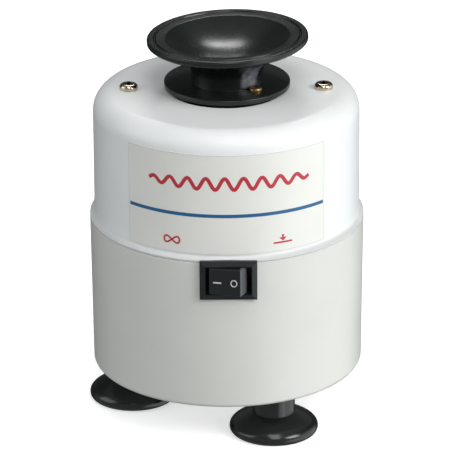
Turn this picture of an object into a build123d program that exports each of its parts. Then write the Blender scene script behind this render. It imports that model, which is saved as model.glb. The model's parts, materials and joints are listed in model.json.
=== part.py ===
from build123d import *
import math
import os

os.makedirs("parts", exist_ok=True)

# Compact bench vortex mixer. All lengths are millimetres; the floor is z = 0, the
# housing's axis is the Z axis and the switch faces -Y. Azimuths are degrees from the
# front (-Y), positive towards +X.

# Levels
HOUSING_Z = 17.3
SEAM_Z = 75.0
SEAM_GAP = 0.25
COVER_TOP_Z = 124.1
FLANGE_Z = 124.95
RIM_Z = 144.2

# Housing and cover
SEAM_R = 51.05
BASE_R = 50.35
WALL = 2.0
EDGE_R = 1.5
COVER_R = 49.35
COVER_WALL = 1.8
SHOULDER_R = 7.6
LIP_Z = 75.9
FLARE_Z = 77.4
SPIGOT_Z = 71.0
SPIGOT_R = 48.75
COVER_BORE_R = 20.7
PILLAR_X = 36.0

# Label film on the cover
LABEL_HALF_ANGLE = 46.0
LABEL_Z = (77.8, 116.4)
LABEL_T = 0.15

# Suction feet
FOOT_CIRCLE_R = 35.7
FOOT_AZIMUTHS = (28.6, 148.6, -91.4)
FOOT_R = 16.5
FOOT_BEAD_R = 2.1
FOOT_CAVITY_R = 12.8
FOOT_SKIRT_Z = 8.1
FOOT_NECK_R = 7.9
STUD_R = 2.9

# Rocker switch
SWITCH_X = 0.55
SWITCH_Z = 68.6
SWITCH_W = 21.0
SWITCH_H = 15.0
SWITCH_BACK_Y = -50.2
SWITCH_FACE_Y = -52.2
CUTOUT_W = 19.2
CUTOUT_H = 13.1
PADDLE_PIVOT_Y = -47.1
PADDLE_TILT = 12.4
PADDLE_H = 10.2
PIVOT_PIN_R = 1.0

# Cord gland
GLAND_Z = 34.0
GLAND_BORE_R = 3.3
GLAND_END_Y = 54.6

# Ballast and sprung motor carriage
BALLAST_R = 46.0
BALLAST_TOP_Z = 27.3
PLATE_Z = (52.0, 54.0)
PLATE_R = 42.0
POST_CIRCLE_R = 31.0
POST_AZIMUTHS = (0.0, 120.0, -120.0)
POST_R = 2.5
SPRING_R = 4.0
SPRING_WIRE_R = 0.5
SPRING_TURNS = 5.5

# Motor
CORE_Z = (66.0, 84.0)
CORE_HALF_X = 22.0
CORE_Y = (-17.0, 34.0)
WINDOW_Y = (17.0, 25.0)
WINDOW_HALF_X = 14.0
ROTOR_R = 11.0
AIR_GAP = 0.4
SHAFT_R = 3.0
BUSH_R = 6.0
MOTOR_SCREW_X = 16.8

# Eccentric drive and head
ORBIT_R = 2.0
ORBIT_AZIMUTH = 170.0
HUB_R = 8.0
HUB_Z = (98.5, 112.0)
CRANK_PIN_R = 2.5
BEARING_Z = (113.5, 118.5)
BEARING_R = 8.0
CARRIER_R = 18.2
BOSS_R = 11.0
SPOOL_FLANGE_R = 23.35
NECK_R = 13.3
CORE_TOP_Z = 133.0
CUP_R = 29.8
FLANGE_SCREW_CIRCLE_R = 16.2
FLANGE_SCREW_AZIMUTHS = (40.5, 220.5)


def polar(azimuth, radius):
    angle = math.radians(azimuth)
    return radius * math.sin(angle), -radius * math.cos(angle)


HEAD_X, HEAD_Y = polar(ORBIT_AZIMUTH, ORBIT_R)


def cyl(x, y, z0, z1, radius):
    return Pos(x, y, (z0 + z1) / 2) * Cylinder(radius, z1 - z0)


def ring(x, y, z0, z1, inner, outer):
    return cyl(x, y, z0, z1, outer) - cyl(x, y, z0, z1, inner)


def rod_y(x, z, y0, y1, radius):
    return Pos(x, (y0 + y1) / 2, z) * Rot(90, 0, 0) * Cylinder(radius, y1 - y0)


def block(x0, x1, y0, y1, z0, z1):
    return Pos((x0 + x1) / 2, (y0 + y1) / 2, (z0 + z1) / 2) * Box(x1 - x0, y1 - y0, z1 - z0)


def turned(*edges):
    profile = make_face([Plane.XZ * edge for edge in edges])
    return revolve(profile, Axis.Z, 360)


def hexagon(x, y, z0, z1, across_flats):
    outline = Pos(x, y, z0) * RegularPolygon(across_flats / 2, 6, major_radius=False)
    return extrude(outline, z1 - z0)


def pan_head(x, y, z, radius, height):
    body = cyl(x, y, z, z + height, radius)
    top = body.edges().group_by(Axis.Z)[-1]
    body = fillet(top, height * 0.62)
    cross = block(x - radius * 0.52, x + radius * 0.52, y - 0.42, y + 0.42, z + 0.7, z + height + 1)
    other = block(x - 0.42, x + 0.42, y - radius * 0.52, y + radius * 0.52, z + 0.7, z + height + 1)
    return body - cross - other


def pan_screw(x, y, z, head_r, head_h, shank_r, length):
    return pan_head(x, y, z, head_r, head_h) + cyl(x, y, z - length, z, shank_r)


def write(name, shape):
    export_step(shape, "parts/" + name + ".step")


def group(shapes):
    return Compound([shape.solid() for shape in shapes])


# ---------------------------------------------------------------- top cover
shoulder_r0 = COVER_R - SHOULDER_R
shoulder_z0 = COVER_TOP_Z - SHOULDER_R
inner_shoulder = SHOULDER_R - COVER_WALL
diag = math.sqrt(0.5)
cover_bottom = SEAM_Z + SEAM_GAP
top_cover = turned(
    Line((SPIGOT_R, cover_bottom), (SEAM_R, cover_bottom)),
    Line((SEAM_R, cover_bottom), (SEAM_R, LIP_Z)),
    Spline(
        (SEAM_R, LIP_Z),
        (COVER_R + 0.45, FLARE_Z - 0.85),
        (COVER_R, FLARE_Z),
        tangents=((-0.9, 0.35), (0, 1)),
    ),
    Line((COVER_R, FLARE_Z), (COVER_R, shoulder_z0)),
    ThreePointArc(
        (COVER_R, shoulder_z0),
        (shoulder_r0 + SHOULDER_R * diag, shoulder_z0 + SHOULDER_R * diag),
        (shoulder_r0, COVER_TOP_Z),
    ),
    Line((shoulder_r0, COVER_TOP_Z), (COVER_BORE_R + 0.5, COVER_TOP_Z)),
    ThreePointArc(
        (COVER_BORE_R + 0.5, COVER_TOP_Z),
        (COVER_BORE_R + 0.5 * (1 - diag), COVER_TOP_Z - 0.5 * (1 - diag)),
        (COVER_BORE_R, COVER_TOP_Z - 0.5),
    ),
    Line((COVER_BORE_R, COVER_TOP_Z - 0.5), (COVER_BORE_R, COVER_TOP_Z - COVER_WALL)),
    Line((COVER_BORE_R, COVER_TOP_Z - COVER_WALL), (shoulder_r0, COVER_TOP_Z - COVER_WALL)),
    ThreePointArc(
        (shoulder_r0, COVER_TOP_Z - COVER_WALL),
        (shoulder_r0 + inner_shoulder * diag, shoulder_z0 + inner_shoulder * diag),
        (COVER_R - COVER_WALL, shoulder_z0),
    ),
    Line((COVER_R - COVER_WALL, shoulder_z0), (COVER_R - COVER_WALL, SPIGOT_Z)),
    Line((COVER_R - COVER_WALL, SPIGOT_Z), (SPIGOT_R, SPIGOT_Z)),
    Line((SPIGOT_R, SPIGOT_Z), (SPIGOT_R, cover_bottom)),
)
for side in (-1, 1):
    top_cover -= cyl(side * PILLAR_X, 0, COVER_TOP_Z - 5, COVER_TOP_Z + 1, 1.9)
cut_top = SWITCH_Z + CUTOUT_H / 2
top_cover -= block(SWITCH_X - CUTOUT_W / 2, SWITCH_X + CUTOUT_W / 2, -54, -44, SPIGOT_Z - 1, cut_top)
flat_x = (SWITCH_X - SWITCH_W / 2 - 0.2, SWITCH_X + SWITCH_W / 2 + 0.2)
flat_top = SWITCH_Z + SWITCH_H / 2 + 0.15
top_cover -= block(*flat_x, -54, SWITCH_BACK_Y, SPIGOT_Z - 1, flat_top)
write("top_cover", top_cover)

# Label film wrapped round the cover's wall
film = ring(0, 0, LABEL_Z[0], LABEL_Z[1], COVER_R, COVER_R + LABEL_T)
wedge_points = [(0, 0)]
for step in range(9):
    wedge_points.append(polar(-LABEL_HALF_ANGLE + step * LABEL_HALF_ANGLE / 4, 70))
wedge = extrude(Pos(0, 0, 60) * make_face(Polyline(*wedge_points, close=True)), 70)
write("label_film", film & wedge)

# Two pan-head screws hold the cover to the pillars
cover_screws = [pan_screw(s * PILLAR_X, 0, COVER_TOP_Z, 3.45, 2.1, 1.75, 14) for s in (-1, 1)]
write("cover_screws", group(cover_screws))

# ---------------------------------------------------------------- lower housing
floor_top = HOUSING_Z + WALL
lower_housing = turned(
    Line((0, HOUSING_Z), (BASE_R - EDGE_R, HOUSING_Z)),
    ThreePointArc(
        (BASE_R - EDGE_R, HOUSING_Z),
        (BASE_R - EDGE_R * (1 - diag), HOUSING_Z + EDGE_R * (1 - diag)),
        (BASE_R, HOUSING_Z + EDGE_R),
    ),
    Line((BASE_R, HOUSING_Z + EDGE_R), (SEAM_R, SEAM_Z - 0.3)),
    Line((SEAM_R, SEAM_Z - 0.3), (SEAM_R - 0.3, SEAM_Z)),
    Line((SEAM_R - 0.3, SEAM_Z), (SEAM_R - WALL, SEAM_Z)),
    Line((SEAM_R - WALL, SEAM_Z), (BASE_R - WALL, floor_top)),
    Line((BASE_R - WALL, floor_top), (0, floor_top)),
    Line((0, floor_top), (0, HOUSING_Z)),
)
cut_bottom = SWITCH_Z - CUTOUT_H / 2
lower_housing -= block(SWITCH_X - CUTOUT_W / 2, SWITCH_X + CUTOUT_W / 2, -54, -44, cut_bottom, SEAM_Z + 1)
flat_bottom = SWITCH_Z - SWITCH_H / 2 - 0.15
lower_housing -= block(*flat_x, -54, SWITCH_BACK_Y, flat_bottom, SEAM_Z + 1)
lower_housing -= rod_y(0, GLAND_Z, 44, 56, 5.0)
for azimuth in FOOT_AZIMUTHS:
    fx, fy = polar(azimuth, FOOT_CIRCLE_R)
    lower_housing -= cyl(fx, fy, HOUSING_Z - 1, floor_top + 1, STUD_R + 0.3)
write("lower_housing", lower_housing)

# ---------------------------------------------------------------- suction feet
stud_head_z = 12.3
bead_r = FOOT_R - FOOT_BEAD_R
foot_names = ("suction_foot_front", "suction_foot_rear", "suction_foot_left")
studs = []
for name, azimuth in zip(foot_names, FOOT_AZIMUTHS):
    fx, fy = polar(azimuth, FOOT_CIRCLE_R)
    foot = turned(
        Line((FOOT_CAVITY_R, 0), (bead_r, 0)),
        ThreePointArc(
            (bead_r, 0),
            (FOOT_R - FOOT_BEAD_R * (1 - diag), FOOT_BEAD_R * (1 - diag)),
            (FOOT_R, FOOT_BEAD_R),
        ),
        Spline(
            (FOOT_R, FOOT_BEAD_R),
            (15.7, 4.0),
            (13.8, 5.4),
            (11.0, 6.75),
            (FOOT_NECK_R, FOOT_SKIRT_Z),
            tangents=((0, 1), (-1, 0.42)),
        ),
        Line((FOOT_NECK_R, FOOT_SKIRT_Z), (FOOT_NECK_R, HOUSING_Z)),
        Line((FOOT_NECK_R, HOUSING_Z), (0, HOUSING_Z)),
        Line((0, HOUSING_Z), (0, 5.4)),
        Spline((0, 5.4), (5.0, 4.8), (9.5, 2.9), (FOOT_CAVITY_R, 0)),
    )
    stud = cyl(0, 0, stud_head_z, stud_head_z + 2, 5.6) + cyl(0, 0, stud_head_z, 26.3, STUD_R)
    write(name, Pos(fx, fy, 0) * (foot - stud))
    studs.append(Pos(fx, fy, 0) * stud)
write("foot_studs", group(studs))

# ---------------------------------------------------------------- ballast and pillars
ballast = cyl(0, 0, floor_top, BALLAST_TOP_Z, BALLAST_R)
for azimuth in FOOT_AZIMUTHS:
    fx, fy = polar(azimuth, FOOT_CIRCLE_R)
    ballast -= cyl(fx, fy, floor_top - 1, BALLAST_TOP_Z - 0.6, STUD_R)
for azimuth in POST_AZIMUTHS:
    px, py = polar(azimuth, POST_CIRCLE_R)
    ballast -= cyl(px, py, 21.3, BALLAST_TOP_Z + 1, 2.0)
pillar_spigot_z = 26.9
for side in (-1, 1):
    ballast -= cyl(side * PILLAR_X, 0, pillar_spigot_z, BALLAST_TOP_Z + 1, 2.0)
MICRO_X, MICRO_Y = 24.0, -18.0
ballast -= cyl(MICRO_X, -8.5, 21.3, BALLAST_TOP_Z + 1, 1.25)
BLOCK_X, BLOCK_Y = -22.0, -18.0
for side in (-1, 1):
    ballast -= cyl(BLOCK_X + side * 9.0, BLOCK_Y, 21.3, BALLAST_TOP_Z + 1, 1.25)
write("ballast_plate", ballast)

pillars = []
for side in (-1, 1):
    x = side * PILLAR_X
    pillar = hexagon(x, 0, BALLAST_TOP_Z, COVER_TOP_Z - COVER_WALL, 7.0)
    pillar += cyl(x, 0, pillar_spigot_z, BALLAST_TOP_Z, 2.0)
    pillar -= cyl(x, 0, COVER_TOP_Z - 16, COVER_TOP_Z, 1.75)
    pillars.append(pillar)
write("cover_pillars", group(pillars))

# ---------------------------------------------------------------- rocker switch
z_mid = SWITCH_Z
bezel = block(
    -SWITCH_W / 2, SWITCH_W / 2, SWITCH_FACE_Y, SWITCH_BACK_Y, z_mid - SWITCH_H / 2, z_mid + SWITCH_H / 2
)
bezel_face = bezel.faces().sort_by(Axis.Y)[0]
bezel = chamfer(bezel_face.edges(), 1.75, 0.75, reference=bezel_face)
switch_frame = bezel + block(-9.5, 9.5, SWITCH_BACK_Y, -37.0, z_mid - 6.45, z_mid + 6.45)
switch_frame -= block(-8.4, 8.4, -56, -41.0, z_mid - 5.4, z_mid + 5.4)
switch_frame -= cyl(0, PADDLE_PIVOT_Y, z_mid - 6.1, z_mid + 6.1, PIVOT_PIN_R + 0.05)
for side in (-1, 1):
    tongue = block(side * 9.9 - 0.4, side * 9.9 + 0.4, -47.4, -45.0, z_mid - 2.5, z_mid + 2.5)
    switch_frame += tongue
    switch_frame -= block(side * 5.0 - 0.4, side * 5.0 + 0.4, -39.0, -36.0, z_mid - 2.4, z_mid + 2.4)
write("switch_frame", Pos(SWITCH_X, 0, 0) * switch_frame)

paddle_outline = Polyline(
    (-5.85, -6.5), (5.85, -6.5), (7.21, -1.6), (6.2, 0.9), (1.5, 1.2), (1.2, 4.2), (-1.2, 4.2),
    (-1.5, 1.2), (-6.2, 0.9), (-7.21, -1.6), close=True,
)
paddle = extrude(Pos(0, 0, -PADDLE_H / 2) * make_face(paddle_outline), PADDLE_H)
paddle = fillet(paddle.faces().sort_by(Axis.Y)[0].edges(), 0.35)
paddle += cyl(0, 0, -5.9, 5.9, PIVOT_PIN_R)
write("switch_paddle", Pos(SWITCH_X, PADDLE_PIVOT_Y, z_mid) * Rot(0, 0, -PADDLE_TILT) * paddle)

blades = []
for side in (-1, 1):
    blade = block(side * 5.0 - 0.4, side * 5.0 + 0.4, -39.0, -30.0, z_mid - 2.4, z_mid + 2.4)
    blade -= Pos(side * 5.0, -33.0, z_mid) * Rot(0, 90, 0) * Cylinder(0.8, 3)
    blades.append(Pos(SWITCH_X, 0, 0) * blade)
write("switch_terminals", group(blades))

# ---------------------------------------------------------------- cord gland
gland = rod_y(0, GLAND_Z, 50.6, 53.0, 6.6) + rod_y(0, GLAND_Z, 48.0, 50.7, 4.95)
gland += rod_y(0, GLAND_Z, 46.4, 48.1, 6.2) + rod_y(0, GLAND_Z, 53.0, GLAND_END_Y, 5.2)
gland -= rod_y(0, GLAND_Z, 46.0, 55.0, GLAND_BORE_R)
write("cord_gland", gland)

# ---------------------------------------------------------------- sprung carriage
posts = []
washers = []
springs = []
for azimuth in POST_AZIMUTHS:
    px, py = polar(azimuth, POST_CIRCLE_R)
    post = cyl(px, py, BALLAST_TOP_Z, 54.1, POST_R) + cyl(px, py, 21.3, BALLAST_TOP_Z, 2.0)
    posts.append(post + cyl(px, py, 54.1, 57.5, 1.5))
    washer = ring(px, py, 54.1, 54.9, 1.5, 5.0)
    nut = hexagon(px, py, 54.9, 57.3, 5.5) - cyl(px, py, 54, 58, 1.5)
    washers.append(washer + nut)
    pitch = (PLATE_Z[0] - BALLAST_TOP_Z - 2 * SPRING_WIRE_R - 0.1) / SPRING_TURNS
    path = Helix(pitch, pitch * SPRING_TURNS, SPRING_R)
    section = Plane(path @ 0, z_dir=path % 0) * Circle(SPRING_WIRE_R)
    coil = sweep(section, path, is_frenet=True)
    springs.append(Pos(px, py, BALLAST_TOP_Z + SPRING_WIRE_R + 0.05) * coil)
write("guide_posts", group(posts))
write("post_stop_nuts", group(washers))
write("touch_springs", group(springs))

motor_plate = cyl(0, 0, PLATE_Z[0], PLATE_Z[1], PLATE_R)
motor_plate -= cyl(0, 0, PLATE_Z[0] - 1, PLATE_Z[1] + 1, 7.0)
motor_plate -= block(-24, 24, -PLATE_R - 1, -36, PLATE_Z[0] - 1, PLATE_Z[1] + 1)
for azimuth in POST_AZIMUTHS:
    px, py = polar(azimuth, POST_CIRCLE_R)
    motor_plate -= cyl(px, py, PLATE_Z[0] - 1, PLATE_Z[1] + 1, POST_R + 0.06)
for side in (-1, 1):
    x = side * PILLAR_X
    motor_plate -= cyl(x, 0, PLATE_Z[0] - 1, PLATE_Z[1] + 1, 5.0)
    motor_plate -= block(min(x, side * 45), max(x, side * 45), -5, 5, PLATE_Z[0] - 1, PLATE_Z[1] + 1)
    motor_plate -= cyl(side * 10.5, 0, PLATE_Z[0] - 1, PLATE_Z[1] + 1, 1.5)
write("motor_plate", motor_plate)

# ---------------------------------------------------------------- shaded-pole motor
core = block(-CORE_HALF_X, CORE_HALF_X, CORE_Y[0], CORE_Y[1], CORE_Z[0], CORE_Z[1])
core -= block(
    -WINDOW_HALF_X, WINDOW_HALF_X, WINDOW_Y[0], WINDOW_Y[1], CORE_Z[0] - 1, CORE_Z[1] + 1
)
core -= cyl(0, 0, CORE_Z[0] - 1, CORE_Z[1] + 1, ROTOR_R + AIR_GAP)
for side in (-1, 1):
    core -= cyl(side * MOTOR_SCREW_X, 0, CORE_Z[0] - 1, CORE_Z[1] + 1, 1.6)
    for end in (-1, 1):
        slot_x = side * 10.6
        core -= block(slot_x - 0.9, slot_x + 0.9, end * 9.0 - 0.9, end * 9.0 + 0.9, 65, 85)
core = chamfer(core.edges().filter_by(Axis.Z).group_by(Axis.Y)[0], 3.0)
write("stator_core", core)

shading = []
for side in (-1, 1):
    x0, x1 = side * 10.6 - 0.8, side * 10.6 + 0.8
    for end in (-1, 1):
        y0, y1 = end * 9.0 - 0.8, end * 9.0 + 0.8
        shading.append(block(x0, x1, y0, y1, CORE_Z[0] - 1.4, CORE_Z[1] + 1.4))
write("shading_bars", group(shading))

limb = (WINDOW_Y[1], CORE_Y[1])
bobbin = block(-13.5, 13.5, limb[0] - 1, limb[1] + 1, CORE_Z[0] - 1, CORE_Z[1] + 1)
for side in (-1, 1):
    x0, x1 = sorted((side * 12.5, side * 13.5))
    bobbin += block(x0, x1, limb[0] - 7.6, limb[1] + 7.6, CORE_Z[0] - 8, CORE_Z[1] + 8)
bobbin -= block(-15, 15, limb[0], limb[1], CORE_Z[0], CORE_Z[1])
write("coil_bobbin", bobbin)

winding = block(-12.5, 12.5, limb[0] - 7.0, limb[1] + 7.0, CORE_Z[0] - 7.4, CORE_Z[1] + 7.4)
winding = fillet(winding.edges().filter_by(Axis.X), 2.5)
winding -= block(-15, 15, limb[0] - 1, limb[1] + 1, CORE_Z[0] - 1, CORE_Z[1] + 1)
write("coil_winding", winding)


def bracket(plate_z, tab_z, outward):
    low, high = sorted((plate_z, plate_z + 2 * outward))
    shape = block(-CORE_HALF_X, CORE_HALF_X, -8, 8, low, high)
    for side in (-1, 1):
        x0, x1 = sorted((side * 20.0, side * CORE_HALF_X))
        leg_low, leg_high = sorted((plate_z, tab_z))
        shape += block(x0, x1, -8, 8, leg_low, leg_high)
        t0, t1 = sorted((side * 13.0, side * CORE_HALF_X))
        tab_low, tab_high = sorted((tab_z, tab_z + 2 * outward))
        tab = block(t0, t1, -8, 8, tab_low, tab_high)
        shape += tab - cyl(side * MOTOR_SCREW_X, 0, tab_low - 1, tab_high + 1, 1.5)
    return shape - cyl(0, 0, low - 1, high + 1, BUSH_R)


upper_bracket = bracket(92.0, CORE_Z[1], 1)
write("upper_bracket", upper_bracket)
lower_bracket = bracket(56.0, CORE_Z[0], -1)
for side in (-1, 1):
    lower_bracket -= cyl(side * 10.5, 0, 53, 57, 1.5)
write("lower_bracket", lower_bracket)

bush_bore = SHAFT_R + 0.03
upper_bush = ring(0, 0, 89.0, 97.0, bush_bore, BUSH_R)
lower_bush = ring(0, 0, 51.5, 59.0, bush_bore, BUSH_R)
write("shaft_bushes", group([upper_bush, lower_bush]))

motor_screws = []
motor_nuts = []
rivets = []
for side in (-1, 1):
    x = side * MOTOR_SCREW_X
    motor_screws.append(pan_screw(x, 0, CORE_Z[1] + 2, 2.75, 2.0, 1.5, 25.5))
    nut = hexagon(x, 0, CORE_Z[0] - 4.4, CORE_Z[0] - 2, 5.5)
    motor_nuts.append(nut - cyl(x, 0, 60, 66, 1.5))
    rivet = cyl(side * 10.5, 0, 50.8, 57.2, 1.5) + cyl(side * 10.5, 0, 56.0, 57.2, 2.6)
    rivets.append(rivet + cyl(side * 10.5, 0, 50.8, 52.0, 2.6))
write("motor_screws", group(motor_screws))
write("motor_nuts", group(motor_nuts))
write("plate_rivets", group(rivets))

# ---------------------------------------------------------------- rotor and eccentric
shaft = cyl(0, 0, 50.0, 106.0, SHAFT_R)
shaft = chamfer(shaft.edges().group_by(Axis.Z)[0] + shaft.edges().group_by(Axis.Z)[-1], 0.4)
write("motor_shaft", shaft)

rotor_core = ring(0, 0, CORE_Z[0], CORE_Z[1], SHAFT_R, ROTOR_R)
write("rotor_core", rotor_core)
end_rings = [ring(0, 0, 63.5, CORE_Z[0], 5.0, 10.2), ring(0, 0, CORE_Z[1], 86.5, 5.0, 10.2)]
write("rotor_end_rings", group(end_rings))
collars = [ring(0, 0, 59.3, 60.3, SHAFT_R, 5.4), ring(0, 0, 97.3, 98.3, SHAFT_R, 5.4)]
write("thrust_washers", group(collars))

SETSCREW_Z = 101.0
hub = cyl(0, 0, HUB_Z[0], HUB_Z[1], HUB_R) + cyl(HEAD_X, HEAD_Y, HUB_Z[1], 120.0, CRANK_PIN_R)
hub -= cyl(0, 0, HUB_Z[0] - 1, 106.0, SHAFT_R)
hub -= ring(HEAD_X, HEAD_Y, 118.8, 119.5, 2.0, 4)
set_screw_axis = Rot(0, 0, ORBIT_AZIMUTH) * Pos(0, 5.5, SETSCREW_Z) * Rot(90, 0, 0)
hub -= set_screw_axis * Cylinder(2.0, 6.0)
write("eccentric_hub", hub)
set_screw = set_screw_axis * Cylinder(2.0, 4.6) & ring(0, 0, 98, 104, SHAFT_R, HUB_R)
write("hub_set_screw", set_screw)

weight = ring(0, 0, 103.2, 110.2, HUB_R, 20.0)
weight &= Rot(0, 0, ORBIT_AZIMUTH) * block(-21, 21, 0, 21, 103, 111)
write("counterweight", weight)
write("pin_clip", ring(HEAD_X, HEAD_Y, 118.8, 119.5, 2.0, 4.4))
inner_race = ring(HEAD_X, HEAD_Y, BEARING_Z[0], BEARING_Z[1], CRANK_PIN_R, 4.2)
inner_race += ring(HEAD_X, HEAD_Y, HUB_Z[1], BEARING_Z[0], CRANK_PIN_R, 3.6)
write("bearing_inner_race", inner_race)

# ---------------------------------------------------------------- orbiting head
outer_race = ring(HEAD_X, HEAD_Y, BEARING_Z[0], BEARING_Z[1], 4.5, BEARING_R)
outer_race -= ring(HEAD_X, HEAD_Y, BEARING_Z[0] + 0.6, BEARING_Z[1] - 0.6, 4.4, 6.2)
write("bearing_outer_race", outer_race)

carrier = cyl(HEAD_X, HEAD_Y, FLANGE_Z - 3.3, FLANGE_Z, CARRIER_R)
carrier += cyl(HEAD_X, HEAD_Y, 112.6, FLANGE_Z - 2, BOSS_R)
carrier += cyl(HEAD_X, HEAD_Y, FLANGE_Z, CORE_TOP_Z, 7.0)
carrier -= cyl(HEAD_X, HEAD_Y, 112.0, BEARING_Z[1], BEARING_R)
carrier -= cyl(HEAD_X, HEAD_Y, BEARING_Z[1], 121.0, 6.0)
for azimuth in FLANGE_SCREW_AZIMUTHS:
    sx, sy = polar(azimuth, FLANGE_SCREW_CIRCLE_R)
    carrier -= cyl(HEAD_X + sx, HEAD_Y + sy, FLANGE_Z - 4, FLANGE_Z + 1, 1.25)
write("head_carrier", carrier)

cup = turned(
    Line((7.0, FLANGE_Z), (SPOOL_FLANGE_R - 0.3, FLANGE_Z)),
    Line((SPOOL_FLANGE_R - 0.3, FLANGE_Z), (SPOOL_FLANGE_R, FLANGE_Z + 0.3)),
    Line((SPOOL_FLANGE_R, FLANGE_Z + 0.3), (SPOOL_FLANGE_R, FLANGE_Z + 1.6)),
    ThreePointArc(
        (SPOOL_FLANGE_R, FLANGE_Z + 1.6),
        (SPOOL_FLANGE_R - 0.12, FLANGE_Z + 1.88),
        (SPOOL_FLANGE_R - 0.4, FLANGE_Z + 2.0),
    ),
    Line((SPOOL_FLANGE_R - 0.4, FLANGE_Z + 2.0), (NECK_R + 0.4, FLANGE_Z + 2.0)),
    ThreePointArc(
        (NECK_R + 0.4, FLANGE_Z + 2.0),
        (NECK_R + 0.12, FLANGE_Z + 2.12),
        (NECK_R, FLANGE_Z + 2.4),
    ),
    Line((NECK_R, FLANGE_Z + 2.4), (NECK_R, FLANGE_Z + 5.0)),
    Spline(
        (NECK_R, FLANGE_Z + 5.0),
        (NECK_R + 1.7, FLANGE_Z + 9.0),
        (NECK_R + 6.0, FLANGE_Z + 12.6),
        (NECK_R + 11.2, FLANGE_Z + 15.1),
        (28.9, FLANGE_Z + 16.6),
        tangents=((0, 1), (1, 0.3)),
    ),
    ThreePointArc((28.9, FLANGE_Z + 16.6), (29.55, FLANGE_Z + 16.9), (CUP_R, FLANGE_Z + 17.5)),
    Line((CUP_R, FLANGE_Z + 17.5), (CUP_R, RIM_Z - 0.5)),
    ThreePointArc((CUP_R, RIM_Z - 0.5), (CUP_R - 0.15, RIM_Z - 0.15), (CUP_R - 0.5, RIM_Z)),
    Line((CUP_R - 0.5, RIM_Z), (27.5, RIM_Z)),
    Line((27.5, RIM_Z), (27.1, RIM_Z - 0.55)),
    Line((27.1, RIM_Z - 0.55), (26.7, RIM_Z - 0.55)),
    Line((26.7, RIM_Z - 0.55), (26.4, RIM_Z - 0.1)),
    Line((26.4, RIM_Z - 0.1), (23.0, RIM_Z - 0.35)),
    Spline(
        (23.0, RIM_Z - 0.35),
        (22.3, RIM_Z - 0.75),
        (18.5, RIM_Z - 2.7),
        (10.0, RIM_Z - 5.4),
        (0, RIM_Z - 6.2),
        tangents=((-1, -0.1), (-1, 0)),
    ),
    Line((0, RIM_Z - 6.2), (0, CORE_TOP_Z)),
    Line((0, CORE_TOP_Z), (7.0, CORE_TOP_Z)),
    Line((7.0, CORE_TOP_Z), (7.0, FLANGE_Z)),
)
cup = Pos(HEAD_X, HEAD_Y, 0) * cup
flange_screws = []
for azimuth in FLANGE_SCREW_AZIMUTHS:
    sx, sy = polar(azimuth, FLANGE_SCREW_CIRCLE_R)
    cup -= cyl(HEAD_X + sx, HEAD_Y + sy, FLANGE_Z - 1, FLANGE_Z + 2.01, 1.25)
    screw = pan_screw(HEAD_X + sx, HEAD_Y + sy, FLANGE_Z + 2, 2.4, 1.6, 1.25, 4.8)
    flange_screws.append(screw)
write("rubber_cup", cup)
write("flange_screws", group(flange_screws))

# ---------------------------------------------------------------- touch switch
MICRO_Z = (37.5, 47.7)
micro = block(MICRO_X - 9.9, MICRO_X + 9.9, MICRO_Y - 3.2, MICRO_Y + 3.2, MICRO_Z[0], MICRO_Z[1])
PLUNGER_X = MICRO_X - 1.5
micro -= cyl(PLUNGER_X, MICRO_Y, 43.5, 48, 1.28)
micro_screws = []
for side in (-1, 1):
    x = MICRO_X + side * 4.8
    micro -= rod_y(x, 40.6, MICRO_Y - 4, MICRO_Y + 4, 1.1)
    screw = rod_y(x, 40.6, MICRO_Y - 3.2, MICRO_Y + 6.0, 1.1)
    micro_screws.append(screw + rod_y(x, 40.6, MICRO_Y - 4.6, MICRO_Y - 3.2, 2.0))
for step in (-1, 0, 1):
    x = MICRO_X + step * 7.4
    micro -= block(x - 1.5, x + 1.5, MICRO_Y - 0.3, MICRO_Y + 0.3, 37, 38.5)
write("touch_switch", micro)
write("touch_switch_screws", group(micro_screws))
write("touch_plunger", cyl(PLUNGER_X, MICRO_Y, 45.0, PLATE_Z[0] - 0.3, 1.2))
tabs = []
for step in (-1, 0, 1):
    x = MICRO_X + step * 7.4
    tabs.append(block(x - 1.5, x + 1.5, MICRO_Y - 0.3, MICRO_Y + 0.3, 31.5, 38.5))
write("touch_switch_tabs", group(tabs))

upright_y = MICRO_Y + 3.2
angle_bracket = block(MICRO_X - 8, MICRO_X + 8, upright_y, upright_y + 1.5, BALLAST_TOP_Z, 46.5)
angle_bracket += block(MICRO_X - 8, MICRO_X + 8, upright_y, -4.0, BALLAST_TOP_Z, 28.8)
for side in (-1, 1):
    angle_bracket -= rod_y(MICRO_X + side * 4.8, 40.6, upright_y - 1, upright_y + 3, 1.1)
angle_bracket -= cyl(MICRO_X, -8.5, 26, 30, 1.25)
write("touch_bracket", angle_bracket)
write("bracket_screw", pan_screw(MICRO_X, -8.5, 28.8, 2.4, 1.6, 1.25, 6.5))

# ---------------------------------------------------------------- terminal block and wires
terminal_block = block(BLOCK_X - 11, BLOCK_X + 11, BLOCK_Y - 6, BLOCK_Y + 6, BALLAST_TOP_Z, 38.3)
clamp_screws = []
block_screws = []
for step in (-1, 0, 1):
    x = BLOCK_X + step * 5.0
    terminal_block -= cyl(x, BLOCK_Y, 33.0, 39.0, 1.6)
    clamp_slot = block(x - 1.3, x + 1.3, BLOCK_Y - 0.25, BLOCK_Y + 0.25, 36.6, 38)
    clamp_screws.append(cyl(x, BLOCK_Y, 33.0, 37.2, 1.6) - clamp_slot)
for side in (-1, 1):
    x = BLOCK_X + side * 9.0
    terminal_block -= cyl(x, BLOCK_Y, 27, 39, 1.25) + cyl(x, BLOCK_Y, 32.0, 39, 1.9)
    screw = cyl(x, BLOCK_Y, 22.0, 32.0, 1.25) + cyl(x, BLOCK_Y, 32.0, 33.4, 1.9)
    block_screws.append(screw)
write("terminal_block", terminal_block)
write("terminal_clamp_screws", group(clamp_screws))
write("terminal_block_screws", group(block_screws))


def wire(*points):
    path = Spline(*points)
    return sweep(Plane(path @ 0, z_dir=path % 0) * Circle(0.75), path)


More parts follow.
